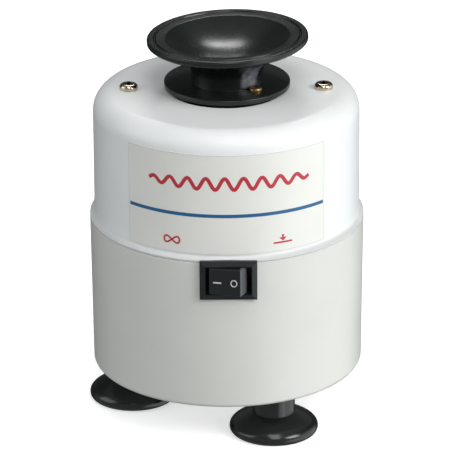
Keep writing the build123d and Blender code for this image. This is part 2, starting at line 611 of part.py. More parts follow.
block_front_y = BLOCK_Y - 6.0
tab_front_y = MICRO_Y - 0.3
write("wire_supply", wire(
    (SWITCH_X - 5.0, -29.9, z_mid), (-5.6, -27.0, 67.0), (-10.0, -28.0, 61.5), (-16.0, -37.5, 54.5),
    (-19.5, -40.0, 50.0), (-25.0, -36.0, 40.0), (-27.0, -29.0, 33.5), (-27.0, block_front_y - 0.1, 31.5),
))
write("wire_switched", wire(
    (SWITCH_X + 5.0, -29.9, z_mid), (6.8, -27.0, 67.0), (10.0, -28.0, 61.5), (16.0, -37.5, 54.5),
    (18.5, -40.0, 49.0), (20.5, -36.0, 40.0), (19.0, -28.0, 34.5), (16.6, tab_front_y - 0.9, 33.0),
))
write("wire_link", wire(
    (-17.0, block_front_y - 0.1, 31.5), (-15.0, -31.0, 30.5), (-6.0, -39.0, 30.0),
    (6.0, -39.0, 30.0), (18.0, -33.0, 30.0), (23.6, -24.0, 31.0), (24.0, tab_front_y - 0.9, 33.0),
))
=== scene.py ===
import json
import math

import bmesh
import bpy
from mathutils import Matrix, Vector


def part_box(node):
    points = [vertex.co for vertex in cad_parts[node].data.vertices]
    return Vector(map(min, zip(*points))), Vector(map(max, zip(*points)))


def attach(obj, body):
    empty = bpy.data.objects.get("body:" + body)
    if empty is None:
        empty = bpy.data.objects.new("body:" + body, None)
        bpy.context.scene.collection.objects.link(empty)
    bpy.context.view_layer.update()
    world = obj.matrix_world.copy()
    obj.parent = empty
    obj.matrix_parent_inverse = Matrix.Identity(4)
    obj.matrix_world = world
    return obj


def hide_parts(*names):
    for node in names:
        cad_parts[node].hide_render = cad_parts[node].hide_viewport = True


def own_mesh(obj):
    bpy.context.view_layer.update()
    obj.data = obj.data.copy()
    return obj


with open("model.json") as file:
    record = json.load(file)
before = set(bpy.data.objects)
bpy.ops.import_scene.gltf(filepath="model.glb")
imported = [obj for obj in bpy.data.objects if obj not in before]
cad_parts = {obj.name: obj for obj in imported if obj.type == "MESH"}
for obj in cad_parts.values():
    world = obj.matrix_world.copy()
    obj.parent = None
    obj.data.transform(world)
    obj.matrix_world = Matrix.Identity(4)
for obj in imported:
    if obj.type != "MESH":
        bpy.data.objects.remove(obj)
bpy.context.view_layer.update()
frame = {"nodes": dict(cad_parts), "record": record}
record = frame["record"]
nodes = frame["nodes"]

MM = 0.001
SEGMENTS = 256
NO_RADIUS = 1e-7
NEARLY_STRAIGHT = math.pi - 0.02


# ------------------------------------------------------------------ measures from the frame
def low(node):
    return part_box(node)[0]


def high(node):
    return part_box(node)[1]


def middle(node):
    return (low(node) + high(node)) / 2


# ------------------------------------------------------------------ node tree helpers
def principled(name):
    mat = bpy.data.materials.new(name)
    mat.use_nodes = True
    shader = mat.node_tree.nodes["Principled BSDF"]
    return mat, mat.node_tree, shader


def add(tree, kind, **settings):
    node = tree.nodes.new(kind)
    for key, value in settings.items():
        setattr(node, key, value)
    return node


def coords(tree):
    return add(tree, "ShaderNodeTexCoord").outputs["Object"]


def noise(tree, where, scale, detail=3.0, rough=0.5):
    node = add(tree, "ShaderNodeTexNoise")
    node.inputs["Scale"].default_value = scale
    node.inputs["Detail"].default_value = detail
    node.inputs["Roughness"].default_value = rough
    tree.links.new(where, node.inputs["Vector"])
    return node.outputs["Fac"]


def ramp(tree, fac, stops):
    node = add(tree, "ShaderNodeValToRGB")
    while len(node.color_ramp.elements) < len(stops):
        node.color_ramp.elements.new(0.5)
    for element, (pos, colour) in zip(node.color_ramp.elements, stops):
        element.position = pos
        element.color = (*colour, 1)
    tree.links.new(fac, node.inputs["Fac"])
    return node.outputs["Color"]


def remap(tree, fac, a, b, lo=0.0, hi=1.0):
    """Runs evenly from a where fac is lo to b where it is hi, and holds beyond them."""
    node = add(tree, "ShaderNodeMapRange")
    node.inputs["From Min"].default_value = lo
    node.inputs["From Max"].default_value = hi
    node.inputs["To Min"].default_value = a
    node.inputs["To Max"].default_value = b
    tree.links.new(fac, node.inputs["Value"])
    return node.outputs["Result"]


def bump(tree, shader, height, strength, distance):
    node = add(tree, "ShaderNodeBump")
    node.inputs["Strength"].default_value = strength
    node.inputs["Distance"].default_value = distance
    tree.links.new(height, node.inputs["Height"])
    tree.links.new(node.outputs["Normal"], shader.inputs["Normal"])


def shade(rgb, k):
    return tuple(min(1.0, c * k) for c in rgb)


def blended(tree, fac, colour, over):
    """The colour, with a plain tone laid over it where fac is high."""
    node = add(tree, "ShaderNodeMix", data_type="RGBA")
    tree.links.new(fac, node.inputs[0])
    tree.links.new(colour, node.inputs[6])
    node.inputs[7].default_value = (*over, 1)
    return node.outputs[2]


def lobe(tree, where, towards, start, full):
    """A soft patch round a direction: 0 where the cosine with it is below start, 1 above full."""
    dot = vector_op(tree, "DOT_PRODUCT", where, Vector(towards).normalized())
    ease = add(tree, "ShaderNodeMapRange", interpolation_type="SMOOTHSTEP")
    ease.inputs["From Min"].default_value = start
    ease.inputs["From Max"].default_value = full
    tree.links.new(dot.outputs["Value"], ease.inputs["Value"])
    return ease.outputs["Result"]


def combined(tree, operation, a, b):
    node = add(tree, "ShaderNodeMath", operation=operation)
    for socket, value in zip(node.inputs, (a, b)):
        if isinstance(value, (int, float)):
            socket.default_value = value
        else:
            tree.links.new(value, socket)
    return node.outputs["Value"]


def product(tree, *factors):
    result = factors[0]
    for factor in factors[1:]:
        result = combined(tree, "MULTIPLY", result, factor)
    return result


def split_xyz(tree, where):
    node = add(tree, "ShaderNodeSeparateXYZ")
    tree.links.new(where, node.inputs["Vector"])
    return node.outputs["X"], node.outputs["Y"], node.outputs["Z"]


def vector_op(tree, operation, a, b=None):
    """A vector operation on a socket and, where it takes one, a plain vector."""
    node = add(tree, "ShaderNodeVectorMath", operation=operation)
    tree.links.new(a, node.inputs[0])
    if b is not None:
        node.inputs[1].default_value = b
    return node


# ------------------------------------------------------------------ the kinds of surface
def enamel(name, rgb, seam_shade=None):
    """Baked enamel: faint mottling and orange peel; the last argument is (low z, high z in mm, strength) of
    painted shade that darkens towards low z.
    """
    mat, tree, shader = principled(name)
    where = coords(tree)
    tint = noise(tree, where, 35.0, 4.0, 0.6)
    colour = ramp(tree, tint, [(0.3, shade(rgb, 0.965)), (0.55, rgb), (0.8, shade(rgb, 1.015))])
    if seam_shade:
        low_z, high_z, strength = seam_shade
        # painted shade: the colour darkens towards the seam below
        seam_shade_fac = remap(tree, split_xyz(tree, where)[2], strength, 0.0, low_z * MM, high_z * MM)
        colour = blended(tree, seam_shade_fac, colour, shade(rgb, 0.45))
    tree.links.new(colour, shader.inputs["Base Color"])
    patches = noise(tree, where, 90.0, 5.0, 0.65)
    tree.links.new(remap(tree, patches, 0.30, 0.46), shader.inputs["Roughness"])
    shader.inputs["Coat Weight"].default_value = 0.12
    shader.inputs["Coat Roughness"].default_value = 0.18
    peel = noise(tree, where, 900.0, 2.0, 0.5)
    bump(tree, shader, peel, 0.10, 0.05 * MM)
    return mat


def neck_reflection_mask(tree, where, painted_reflection):
    """How strongly the painted reflection falls on a point; the last argument is (axis point, azimuth, low
    z, high z, least distance from the axis).
    """
    axis_point, azimuth, low_z, high_z, least_r = painted_reflection
    shift = vector_op(tree, "SUBTRACT", where, axis_point).outputs[0]
    flat = vector_op(tree, "MULTIPLY", shift, (1, 1, 0)).outputs[0]
    unit = vector_op(tree, "NORMALIZE", flat).outputs[0]
    radius = vector_op(tree, "LENGTH", flat).outputs["Value"]
    height = split_xyz(tree, where)[2]
    outside = remap(tree, radius, 0.0, 1.0, least_r - 0.5 * MM, least_r)
    facing = lobe(tree, unit, (math.sin(azimuth), -math.cos(azimuth), 0), 0.945, 0.992)
    above = remap(tree, height, 0.0, 1.0, low_z, low_z + 1.5 * MM)
    below = remap(tree, height, 1.0, 0.0, high_z - 4 * MM, high_z)
    speckle = remap(tree, noise(tree, where, 420.0, 6.0, 0.7), 0.35, 1.0, 0.35, 0.65)
    return product(tree, above, below, facing, outside, speckle)


def rubber(name, rgb, rough, gloss=0.55, painted_reflection=None):
    """Moulded rubber: satin, with mould bloom, fine grain and, where the last argument says, a paler patch
    of painted reflection.
    """
    mat, tree, shader = principled(name)
    where = coords(tree)
    clouds = noise(tree, where, 60.0, 6.0, 0.65)
    colour = ramp(tree, clouds, [(0.35, shade(rgb, 0.75)), (0.6, rgb), (0.85, shade(rgb, 1.5))])
    if painted_reflection:
        # painted reflection: a paler patch where the neck would mirror the lit cover
        colour = blended(tree, neck_reflection_mask(tree, where, painted_reflection), colour, (0.24, 0.255, 0.285))
    tree.links.new(colour, shader.inputs["Base Color"])
    patches = noise(tree, where, 140.0, 5.0, 0.6)
    tree.links.new(remap(tree, patches, *rough), shader.inputs["Roughness"])
    shader.inputs["Specular IOR Level"].default_value = gloss
    grain = noise(tree, where, 2200.0, 3.0, 0.6)
    bump(tree, shader, grain, 0.12, 0.06 * MM)
    return mat


def moulded(name, rgb, rough=(0.30, 0.42), gloss=0.5, lit_end_highlight=None):
    """Moulded plastic: tone drift and a spark-eroded grain; the last argument is (x, colour), a painted
    highlight in that paler colour past that x.
    """
    mat, tree, shader = principled(name)
    where = coords(tree)
    drift = noise(tree, where, 120.0, 4.0, 0.6)
    colour = ramp(tree, drift, [(0.3, shade(rgb, 0.86)), (0.55, rgb), (0.85, shade(rgb, 1.14))])
    if lit_end_highlight:
        limit_x, highlight_tone = lit_end_highlight
        past = remap(tree, split_xyz(tree, where)[0], 0.0, 1.0, limit_x - 0.1 * MM, limit_x + 0.1 * MM)
        # painted highlight: paler past the given x
        colour = blended(tree, past, colour, highlight_tone)
    tree.links.new(colour, shader.inputs["Base Color"])
    tree.links.new(remap(tree, noise(tree, where, 300.0, 4.0), *rough), shader.inputs["Roughness"])
    shader.inputs["Specular IOR Level"].default_value = gloss
    bump(tree, shader, noise(tree, where, 1500.0, 2.0), 0.15, 0.04 * MM)
    return mat


def cross_mark(tree, where, recess):
    """1 in a cross on two screw heads; recess is (x of each side, y, half the arm's width, arm's length)."""
    side_x, mid_y, half_width, reach = recess
    x, y, _ = split_xyz(tree, where)
    out_x = combined(tree, "ABSOLUTE", x, 0.0)
    dx = combined(tree, "ABSOLUTE", combined(tree, "SUBTRACT", out_x, side_x), 0.0)
    dy = combined(tree, "ABSOLUTE", combined(tree, "SUBTRACT", y, mid_y), 0.0)
    narrow = combined(tree, "LESS_THAN", combined(tree, "MINIMUM", dx, dy), half_width)
    within = combined(tree, "LESS_THAN", combined(tree, "MAXIMUM", dx, dy), reach)
    return combined(tree, "MULTIPLY", narrow, within)


def metal(name, rgb, rough=(0.18, 0.34), tarnish=0.7, recess=None):
    """Bare or plated metal: tarnish in the colour, fine scratches and, where recess says, a cross of painted
    shade.
    """
    mat, tree, shader = principled(name)
    where = coords(tree)
    shader.inputs["Metallic"].default_value = 1.0
    clouds = noise(tree, where, 260.0, 6.0, 0.65)
    colour = ramp(tree, clouds, [(0.25, shade(rgb, tarnish)), (0.55, rgb), (0.8, shade(rgb, 1.1))])
    if recess:
        # painted shade: a near-black cross where the recess lies in shade
        colour = blended(tree, cross_mark(tree, where, recess), colour, (0.03, 0.022, 0.015))
    tree.links.new(colour, shader.inputs["Base Color"])
    lines = noise(tree, where, 700.0, 8.0, 0.7)
    tree.links.new(remap(tree, lines, *rough), shader.inputs["Roughness"])
    bump(tree, shader, lines, 0.08, 0.03 * MM)
    return mat


def print_ink(name, rgb):
    """Screen-printed ink: slight thin spots and a satin film."""
    mat, tree, shader = principled(name)
    where = coords(tree)
    spots = noise(tree, where, 1300.0, 3.0, 0.6)
    colour = ramp(tree, spots, [(0.25, shade(rgb, 1.25)), (0.5, rgb), (0.8, shade(rgb, 0.9))])
    tree.links.new(colour, shader.inputs["Base Color"])
    tree.links.new(remap(tree, spots, 0.32, 0.5), shader.inputs["Roughness"])
    return mat


# ------------------------------------------------------------------ mesh helpers
def rounded(corners, steps=5):
    """Profile points from (r, z) or (r, z, fillet) corners, with an arc at each filleted one."""
    out = []
    count = len(corners)
    for i, corner in enumerate(corners):
        here = Vector(corner[:2])
        size = corner[2] if len(corner) > 2 else 0.0
        if size <= 0 or i in (0, count - 1):
            out.append(here)
            continue
        before = Vector(corners[i - 1][:2])
        after = Vector(corners[i + 1][:2])
        u = (before - here).normalized()
        v = (after - here).normalized()
        turn = math.acos(max(-1.0, min(1.0, u.dot(v))))
        if turn > NEARLY_STRAIGHT:
            out.append(here)
            continue
        reach = min(size / math.tan(turn / 2), 0.49 * (before - here).length, 0.49 * (after - here).length)
        radius = reach * math.tan(turn / 2)
        centre = here + (u + v).normalized() * (radius / math.sin(turn / 2))
        start = here + u * reach - centre
        end = here + v * reach - centre
        a0 = math.atan2(start.y, start.x)
        a1 = math.atan2(end.y, end.x)
        sweep = (a1 - a0 + math.pi) % (2 * math.pi) - math.pi
        for k in range(steps + 1):
            a = a0 + sweep * k / steps
            out.append(centre + Vector((math.cos(a), math.sin(a))) * radius)
    return out


def flowing(points, steps=8):
    """A Catmull-Rom run through (r, z) points."""
    pts = [Vector(p) for p in points]
    pts = [2 * pts[0] - pts[1]] + pts + [2 * pts[-1] - pts[-2]]
    out = []
    for i in range(1, len(pts) - 2):
        p0, p1, p2, p3 = pts[i - 1 : i + 3]
        for k in range(steps):
            t = k / steps
            out.append(
                0.5 * (2 * p1 + (p2 - p0) * t + (2 * p0 - 5 * p1 + 4 * p2 - p3) * t * t
                       + (3 * p1 - p0 - 3 * p2 + p3) * t * t * t)
            )
    out.append(pts[-2])
    return out


def finish_mesh(name, bm, mat, body, replaces=(), sharp=60.0):
    """Makes a piece of the mesh, smooth except at edges sharper than sharp degrees, riding on body."""
    bmesh.ops.recalc_face_normals(bm, faces=bm.faces)
    limit = math.radians(sharp)
    for edge in bm.edges:
        edge.smooth = len(edge.link_faces) == 2 and edge.calc_face_angle(0.0) < limit
    for face in bm.faces:
        face.smooth = True
    mesh = bpy.data.meshes.new(name)
    bm.to_mesh(mesh)
    bm.free()
    obj = bpy.data.objects.new(name, mesh)
    bpy.context.scene.collection.objects.link(obj)
    mesh.materials.append(mat)
    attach(obj, body)
    if replaces:
        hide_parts(*replaces)
    return obj


def lathe(profile, centre):
    """Turns an (r, z) profile in mm about a vertical axis at centre (m), closing it into a loop."""
    bm = bmesh.new()
    rings = []
    for point in profile:
        r, z = point[0] * MM, point[1] * MM
        if r < NO_RADIUS:
            rings.append([bm.verts.new((centre[0], centre[1], z))])
            continue
        ring = []
        for k in range(SEGMENTS):
            turn = 2 * math.pi * k / SEGMENTS
            ring.append(bm.verts.new((centre[0] + r * math.sin(turn), centre[1] - r * math.cos(turn), z)))
        rings.append(ring)
    for a, b in [*zip(rings, rings[1:]), (rings[-1], rings[0])]:
        if len(a) == 1 and len(b) == 1:
            continue
        for k in range(SEGMENTS):
            j = (k + 1) % SEGMENTS
            if len(a) == 1:
                bm.faces.new((a[0], b[j], b[k]))
            elif len(b) == 1:
                bm.faces.new((a[k], a[j], b[0]))
            else:
                bm.faces.new((a[k], a[j], b[j], b[k]))
    return bm


# ------------------------------------------------------------------ the finishes
screw_r = (high("cover_screws").y - low("cover_screws").y) / 2
# the cover screws' cross recesses get painted shade, a near-black cross
screw_cross = (high("cover_screws").x - screw_r, middle("cover_screws").y, 0.45 * MM, 0.55 * screw_r)
# painted shade low on the cover, where it flares over the seam: from and to mm, and strength
SEAM_PAINTED_SHADE = (76.2, 77.7, 0.42)
BLACK_RUBBER = (0.009, 0.012, 0.011)
BLACK_NYLON = (0.010, 0.013, 0.014)
NYLON_GLOSS = 0.36
finishes = {
    "shell_white": enamel("enamel_cover", (0.80, 0.82, 0.82), seam_shade=SEAM_PAINTED_SHADE),
    "film": enamel("label_film", (0.775, 0.775, 0.735)),
    "nickel_brass": metal("nickel_shaded_cross", (0.66, 0.57, 0.44), rough=(0.10, 0.24), recess=screw_cross),
    "rubber_black": rubber("rubber_black", BLACK_RUBBER, rough=(0.12, 0.24)),
    "switch_black": moulded("switch_nylon", BLACK_NYLON, gloss=NYLON_GLOSS),
    "steel_bright": metal("plated_steel", (0.55, 0.56, 0.57)),
    "cast_iron": metal("cast_iron", (0.10, 0.10, 0.105), rough=(0.45, 0.7)),
    "silicon_steel": metal("lamination_steel", (0.30, 0.31, 0.33), rough=(0.35, 0.55)),
    "copper_wire": metal("enamelled_copper", (0.55, 0.22, 0.09)),
    "bobbin_nylon": moulded("bobbin_nylon", (0.75, 0.72, 0.62)),
    "bronze": metal("sintered_bronze", (0.50, 0.33, 0.15), rough=(0.35, 0.5)),
    "aluminium": metal("cast_aluminium", (0.70, 0.71, 0.72), rough=(0.3, 0.5)),
    "brass": metal("turned_brass", (0.68, 0.50, 0.22)),
    "carrier_black": moulded("filled_nylon", (0.028, 0.029, 0.03), rough=(0.45, 0.6)),
    "spring_steel": metal("spring_steel", (0.60, 0.61, 0.63)),
    "micro_grey": moulded("phenolic", (0.05, 0.05, 0.055)),
    "plunger_red": moulded("acetal_red", (0.45, 0.04, 0.03)),
    "terminal_white": moulded("polyamide", (0.72, 0.72, 0.69)),
    "wire_brown": moulded("wire_brown", (0.16, 0.07, 0.03)),
    "wire_blue": moulded("wire_blue", (0.03, 0.10, 0.35)),
    "wire_black": moulded("wire_black", (0.03, 0.03, 0.03)),
}
slot_of = {part["node"]: part["material_slot"] for part in record["subparts"]}
for node_name, obj in nodes.items():
    obj.data.materials.clear()
    obj.data.materials.append(finishes[slot_of[node_name]])
nodes["lower_housing"].data.materials[0] = enamel("enamel_housing", (0.66, 0.665, 0.63))
aged_brass = metal("aged_brass", (0.33, 0.22, 0.10), rough=(0.22, 0.40), tarnish=0.45)
nodes["flange_screws"].data.materials[0] = aged_brass


# ------------------------------------------------------------------ printed marks
def prism(bm, outline, place, inner, outer):
    """A closed chip over a 2-D outline (mm): place(u, v, lift) puts each corner on its surface."""
    below = [bm.verts.new(place(u, v, inner)) for u, v in outline]
    above = [bm.verts.new(place(u, v, outer)) for u, v in outline]
    bm.faces.new(below[::-1])
    bm.faces.new(above)
    for k in range(len(outline)):
        j = (k + 1) % len(outline)
        bm.faces.new((below[k], below[j], above[j], above[k]))


def stroke(bm, path, width, place, inner, outer, closed=False):
    """A closed ribbon of even width (mm) along a 2-D path, lifted off its surface like ink."""
    count = len(path)
    rows = []
    for k in range(count):
        here = Vector(path[k])
        if closed:
            back, ahead = Vector(path[k - 1]), Vector(path[(k + 1) % count])
        else:
            back, ahead = Vector(path[max(k - 1, 0)]), Vector(path[min(k + 1, count - 1)])
        along = (ahead - back).normalized()
        side = Vector((-along.y, along.x)) * (width / 2)
        left, right = here + side, here - side
        row = []
        for point, lift in ((left, inner), (left, outer), (right, outer), (right, inner)):
            row.append(bm.verts.new(place(point.x, point.y, lift)))
        rows.append(row)
    pairs = list(zip(rows, rows[1:]))
    if closed:
        pairs.append((rows[-1], rows[0]))
    else:
        bm.faces.new(rows[0])
        bm.faces.new(rows[-1][::-1])
    for a, b in pairs:
        for k in range(4):
            j = (k + 1) % 4
            bm.faces.new((a[k], a[j], b[j], b[k]))


FILM_R = -low("label_film").y
# the ink's inner and outer faces, measured from the surface it lies on
INK_LIFT = (-0.02 * MM, 0.035 * MM)


def on_film(u, v, lift):
    """u mm round the film from its middle, v mm above the floor."""
    angle = u * MM / FILM_R
    return ((FILM_R + lift) * math.sin(angle), -(FILM_R + lift) * math.cos(angle), v * MM)


def round_film(degrees):
    """The way round the film in mm for an angle from its middle."""
    return math.radians(degrees) * FILM_R / MM


red_ink = print_ink("red_ink", (0.47, 0.022, 0.040))
blue_ink = print_ink("blue_ink", (0.006, 0.100, 0.255))
white_ink = print_ink("white_ink", (0.62, 0.63, 0.63))

# a plain wave stands in for the label's title
WAVE_Z, WAVE_HEIGHT, WAVE_WIDTH, WAVE_TURNS = 105.3, 4.4, 1.4, 9
WAVE_FROM_DEG, WAVE_SPAN_DEG = -34.5, 71.5
WAVE_STEPS = WAVE_TURNS * 24
wave = []
for k in range(WAVE_STEPS + 1):
    part = k / WAVE_STEPS
    swell = math.sin(math.pi * part) ** 0.35 if 0 < part < 1 else 0.0
    rise = WAVE_HEIGHT / 2 * swell * math.sin(2 * math.pi * WAVE_TURNS * part)
    wave.append((round_film(WAVE_FROM_DEG + WAVE_SPAN_DEG * part), WAVE_Z + rise))
bm = bmesh.new()
stroke(bm, wave, WAVE_WIDTH, on_film, *INK_LIFT)
finish_mesh("label_wave", bm, red_ink, "case")

RULE_Z, RULE_WIDTH, RULE_HALF_DEG, RULE_STEPS = 92.9, 1.3, 45.2, 120
rule = []
for k in range(RULE_STEPS + 1):
    rule.append((round_film(RULE_HALF_DEG * (2 * k / RULE_STEPS - 1)), RULE_Z))
bm = bmesh.new()
stroke(bm, rule, RULE_WIDTH, on_film, *INK_LIFT)
finish_mesh("label_rule", bm, blue_ink, "case")

# the film's cut edge shows as a fine grey line
EDGE_INSET, EDGE_WIDTH, EDGE_STEPS = 0.15, 0.2, 96
edge_low = low("label_film").z / MM + EDGE_INSET
edge_high = high("label_film").z / MM - EDGE_INSET
edge_half = round_film(math.degrees(math.asin(high("label_film").x / FILM_R))) - EDGE_INSET
across = [edge_half * (2 * k / EDGE_STEPS - 1) for k in range(EDGE_STEPS + 1)]
border = [(u, edge_low) for u in across] + [(u, edge_high) for u in reversed(across)]
bm = bmesh.new()
stroke(bm, border, EDGE_WIDTH, on_film, *INK_LIFT, closed=True)
finish_mesh("label_edge", bm, print_ink("film_edge", (0.60, 0.61, 0.60)), "case")

# the run-on mark is an endless loop
MARK_Z, MARK_WIDTH = 82.5, 0.68
LOOP_AT_DEG, LOOP_HALF_WIDTH, LOOP_HALF_HEIGHT, LOOP_STEPS = -23.8, 3.0, 1.25, 96
loop = []
for k in range(LOOP_STEPS):
    turn = 2 * math.pi * k / LOOP_STEPS
    u = round_film(LOOP_AT_DEG) + LOOP_HALF_WIDTH * math.sin(turn)
    loop.append((u, MARK_Z + LOOP_HALF_HEIGHT * math.sin(2 * turn)))
bm = bmesh.new()
stroke(bm, loop, MARK_WIDTH, on_film, *INK_LIFT, closed=True)
finish_mesh("mark_continuous", bm, red_ink, "case")

# the touch mark is an arrow down onto a plate
PLATE_LENGTH, PLATE_DROP, PLATE_STEPS = 7.4, 1.35, 16
ARROW_HALF_WIDTH, ARROW_TOP, ARROW_TIP = 1.5, 0.55, -0.85
SHAFT_HALF_WIDTH, SHAFT_LOW, SHAFT_TOP = 0.42, 0.62, 1.65
TOUCH_AT_DEG = 24.4
press_u = round_film(TOUCH_AT_DEG)
plate = []
for k in range(PLATE_STEPS + 1):
    plate.append((press_u + PLATE_LENGTH * (k / PLATE_STEPS - 0.5), MARK_Z - PLATE_DROP))
arrow = [
    (press_u - ARROW_HALF_WIDTH, MARK_Z + ARROW_TOP),
    (press_u, MARK_Z + ARROW_TIP),
    (press_u + ARROW_HALF_WIDTH, MARK_Z + ARROW_TOP),
]
shaft = [
    (press_u - SHAFT_HALF_WIDTH, MARK_Z + SHAFT_LOW),
    (press_u + SHAFT_HALF_WIDTH, MARK_Z + SHAFT_LOW),
    (press_u + SHAFT_HALF_WIDTH, MARK_Z + SHAFT_TOP),
    (press_u - SHAFT_HALF_WIDTH, MARK_Z + SHAFT_TOP),
]
bm = bmesh.new()
stroke(bm, plate, MARK_WIDTH, on_film, *INK_LIFT)
prism(bm, arrow, on_film, *INK_LIFT)
prism(bm, shaft, on_film, *INK_LIFT)
finish_mesh("mark_touch", bm, red_ink, "case")


# ------------------------------------------------------------------ the rocker's marks and the painted highlight on its end
PADDLE_FACE = 6.5
PADDLE_HALF_FACE = 5.85
joints = {joint["name"]: joint for joint in record["behaviour"]["joints"]}
rocker = joints["rocker"]
pivot = Vector(rocker["pos_m"])
paddle_tilt = -math.radians(rocker["range_deg"][1] / 2)


def on_paddle(u, v, lift):
    """u mm along the rocker's face from above its pivot, v mm up from its middle."""
    depth = PADDLE_FACE + lift / MM
    x = u * math.cos(paddle_tilt) + depth * math.sin(paddle_tilt)
    y = u * math.sin(paddle_tilt) - depth * math.cos(paddle_tilt)
    return (pivot.x + x * MM, pivot.y + y * MM, pivot.z + v * MM)


corner = on_paddle(PADDLE_HALF_FACE, 0.0, 0.0)[0]
# painted highlight: the end face past this corner is paler where the key lamp lights it
lit_end_highlight = (corner, (0.105, 0.115, 0.12))
paddle_nylon = moulded("switch_lit_end", BLACK_NYLON, gloss=NYLON_GLOSS, lit_end_highlight=lit_end_highlight)
nodes["switch_paddle"].data.materials[0] = paddle_nylon

BAR_WIDTH, RING_WIDTH = 0.5, 0.34
ON_BAR = [(-4.35, -0.3), (-2.8, -0.3), (-1.25, -0.3)]
RING_U, RING_V, RING_R, RING_SQUEEZE, RING_STEPS = 3.45, -0.1, 1.22, 0.9, 40
off_ring = []
for k in range(RING_STEPS):
    turn = 2 * math.pi * k / RING_STEPS
    off_ring.append((RING_U + RING_R * RING_SQUEEZE * math.cos(turn), RING_V + RING_R * math.sin(turn)))
bm = bmesh.new()
stroke(bm, ON_BAR, BAR_WIDTH, on_paddle, *INK_LIFT)
stroke(bm, off_ring, RING_WIDTH, on_paddle, *INK_LIFT, closed=True)
finish_mesh("rocker_marks", bm, white_ink, "paddle")


# ------------------------------------------------------------------ the rubber cup
head = middle("rubber_cup")
cup_low = low("rubber_cup").z / MM
rim = high("rubber_cup").z / MM
cup_r = (high("rubber_cup").x - low("rubber_cup").x) / 2 / MM
core_top = high("head_carrier").z / MM
CORE_R, NECK_R, FLANGE_R, FLANGE_THICK = 7.0, 13.3, 23.35, 2.0
FLARE_R = 28.9
flare_low, flare_high = cup_low + 5.0, cup_low + 16.6
BOWL_DEPTH, BOWL_EDGE_R, BOWL_EDGE_DEPTH, BOWL_STEPS = 7.3, 22.2, 1.0, 40
GROOVE_DEPTH = 0.7

flange_and_neck = rounded(
    [
        (CORE_R, cup_low),
        (FLANGE_R, cup_low, 0.35),
        (FLANGE_R, cup_low + FLANGE_THICK, 0.45),
        (NECK_R, cup_low + FLANGE_THICK, 0.15),
        (NECK_R, flare_low),
    ]
)
flare = flowing(
    [
        (NECK_R, flare_low),
        (NECK_R + 0.35, flare_low + 1.9),
        (NECK_R + 1.8, flare_low + 4.3),
        (NECK_R + 6.0, flare_low + 7.6),
        (NECK_R + 11.2, flare_low + 10.0),
        (FLARE_R, flare_high),
    ]
)
lip = rounded(
    [
        (FLARE_R, flare_high),
        (cup_r, flare_high + 0.7, 0.6),
        (cup_r, rim, 0.7),
        (27.5, rim, 0.18),
        (27.15, rim - GROOVE_DEPTH, 0.12),
        (26.75, rim - GROOVE_DEPTH, 0.12),
        (26.4, rim - 0.1, 0.2),
        (23.1, rim - 0.35, 0.6),
        (BOWL_EDGE_R, rim - BOWL_EDGE_DEPTH),
    ]
)
bowl_fall = BOWL_DEPTH - BOWL_EDGE_DEPTH
bowl_r = (BOWL_EDGE_R**2 + bowl_fall**2) / (2 * bowl_fall)
bowl = []
for k in range(BOWL_STEPS + 1):
    r = BOWL_EDGE_R * (1 - k / BOWL_STEPS)
    bowl.append(Vector((r, rim - BOWL_DEPTH + bowl_r - math.sqrt(bowl_r**2 - r**2))))
core = [Vector((0.0, core_top)), Vector((CORE_R, core_top))]
bm = lathe(flange_and_neck[:-1] + flare[:-1] + lip[:-1] + bowl + core, (head.x, head.y))

# the soft neck lets the dish lean a little to one side
LEAN, LEAN_SHIFT = math.radians(1.8), 0.19 * MM
LEAN_FROM, LEAN_FULL = cup_low + 3.0, cup_low + 15.0
for vert in bm.verts:
    reach = min(1.0, max(0.0, (vert.co.z / MM - LEAN_FROM) / (LEAN_FULL - LEAN_FROM)))
    ease = reach * reach * (3 - 2 * reach)
    dx = vert.co.x - head.x
    dz = vert.co.z - rim * MM
    angle = LEAN * ease
    vert.co.x = head.x + dx * math.cos(angle) - dz * math.sin(angle) + LEAN_SHIFT * ease
    vert.co.z = rim * MM + dx * math.sin(angle) + dz * math.cos(angle)

# a paler patch of painted reflection on the right front of the neck
REFLECTION_AZIMUTH, REFLECTION_LOW, REFLECTION_HIGH = math.radians(39), cup_low + 2.3, cup_low + 14.0
painted_reflection = ((head.x, head.y, 0.0), REFLECTION_AZIMUTH, REFLECTION_LOW * MM, REFLECTION_HIGH * MM, (NECK_R - 1.0) * MM)
cup_rubber = rubber("rubber_cup", BLACK_RUBBER, rough=(0.19, 0.32), gloss=0.40, painted_reflection=painted_reflection)
finish_mesh("cup_moulding", bm, cup_rubber, "head", ("rubber_cup",), sharp=38)


